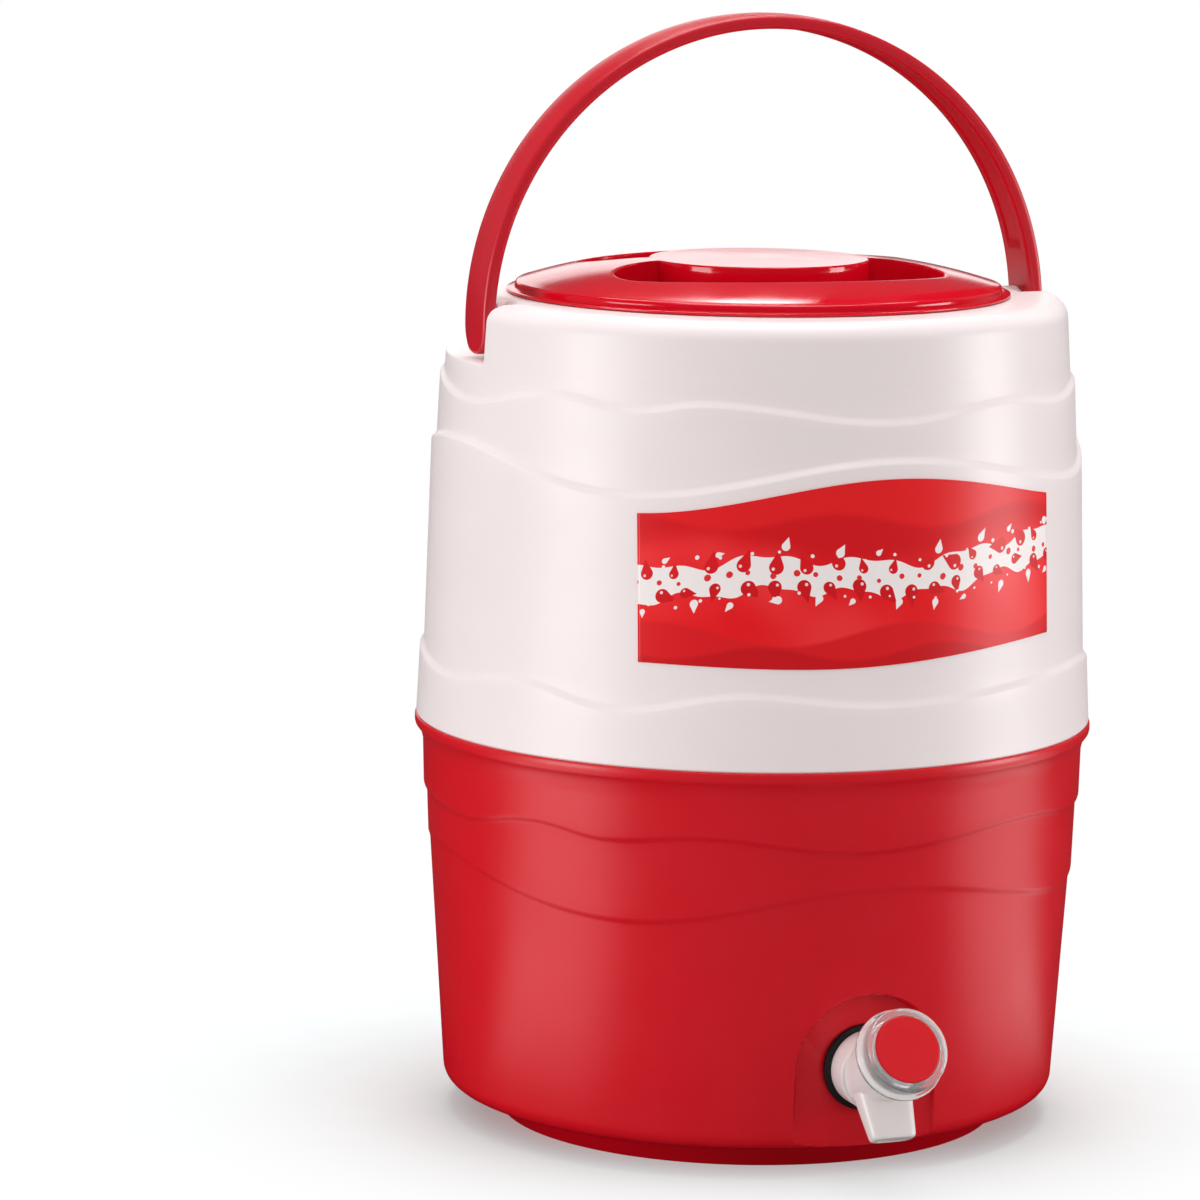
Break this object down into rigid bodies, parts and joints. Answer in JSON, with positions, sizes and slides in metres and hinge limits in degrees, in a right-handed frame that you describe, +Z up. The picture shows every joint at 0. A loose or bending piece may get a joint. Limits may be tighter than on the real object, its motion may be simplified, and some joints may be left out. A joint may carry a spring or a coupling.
{
  "type": "insulated water jug",
  "caption": "Insulated water jug with foam-filled stepped shells, plug-in lid, fold-back hoop handle and a sprung push tap.",
  "frame": {"origin": "middle of the foot ring, on the surface that the jug stands on", "axes": "+Z up along the jug's axis, -Y the front with the tap, X along the handle's pivot axis"},
  "size_m": [0.3032, 0.3395, 0.493],
  "materials": {
    "white_shell": "glossy moulded polypropylene, white with a warm tint",
    "red_shell": "glossy moulded polypropylene, red",
    "red_handle": "glossy moulded polypropylene, red",
    "red_lid": "polished moulded polypropylene, red",
    "liner": "food-grade polyethylene, white",
    "foam": "rigid insulating foam",
    "label_film": "printed self-adhesive film, red with a pale band",
    "white_bush": "acetal, white",
    "tap_plastic": "moulded polypropylene, off-white",
    "black_rubber": "black rubber",
    "spring_steel": "stainless spring wire",
    "clear_plastic": "clear moulded polystyrene",
    "red_disc": "red plastic disc",
    "silicone": "translucent white silicone"
  },
  "bodies": {
    "jug": {"lower_shell": "red_shell", "upper_shell": "white_shell", "inner_liner": "liner", "foam_core": "foam", "foam_fill_plug": "red_shell", "label": "label_film", "pivot_bush_left": "white_bush", "pivot_bush_right": "white_bush", "tap_body": "tap_plastic", "tap_outer_washer": "black_rubber", "tap_inner_washer": "black_rubber", "tap_nut": "tap_plastic", "stem_o_ring": "black_rubber", "tap_spring": "spring_steel"},
    "handle": {"handle": "red_handle", "pivot_pin_left": "red_handle", "pivot_pin_right": "red_handle"},
    "lid_ring": {"lid_gasket": "silicone"},
    "lid": {"lid_cover": "red_lid", "lid_base": "liner", "lid_foam": "foam"},
    "button": {"tap_knob": "clear_plastic", "tap_badge": "red_disc", "tap_stem": "tap_plastic", "valve_seal": "black_rubber"}
  },
  "joints": [
    {"name": "handle_fold", "type": "hinge", "parent": "jug", "child": "handle", "pos_m": [0, 0, 0.359], "axis": [-1, 0, 0], "range_deg": [-36, 90]},
    {"name": "lid_lift", "type": "slide", "parent": "jug", "child": "lid_ring", "axis": [0, 0, 1], "range_m": [0, 0.04]},
    {"name": "lid_turn", "type": "hinge", "parent": "lid_ring", "child": "lid", "pos_m": [0, 0, 0.372], "axis": [0, 0, 1], "continuous": true},
    {"name": "tap_press", "type": "slide", "parent": "jug", "child": "button", "axis": [0, 0.8796, -0.4756], "range_m": [0, 0.0035], "stiffness_N_per_m": 1200, "springref_m": -0.003, "deforming": ["tap_spring"]}
  ]
}
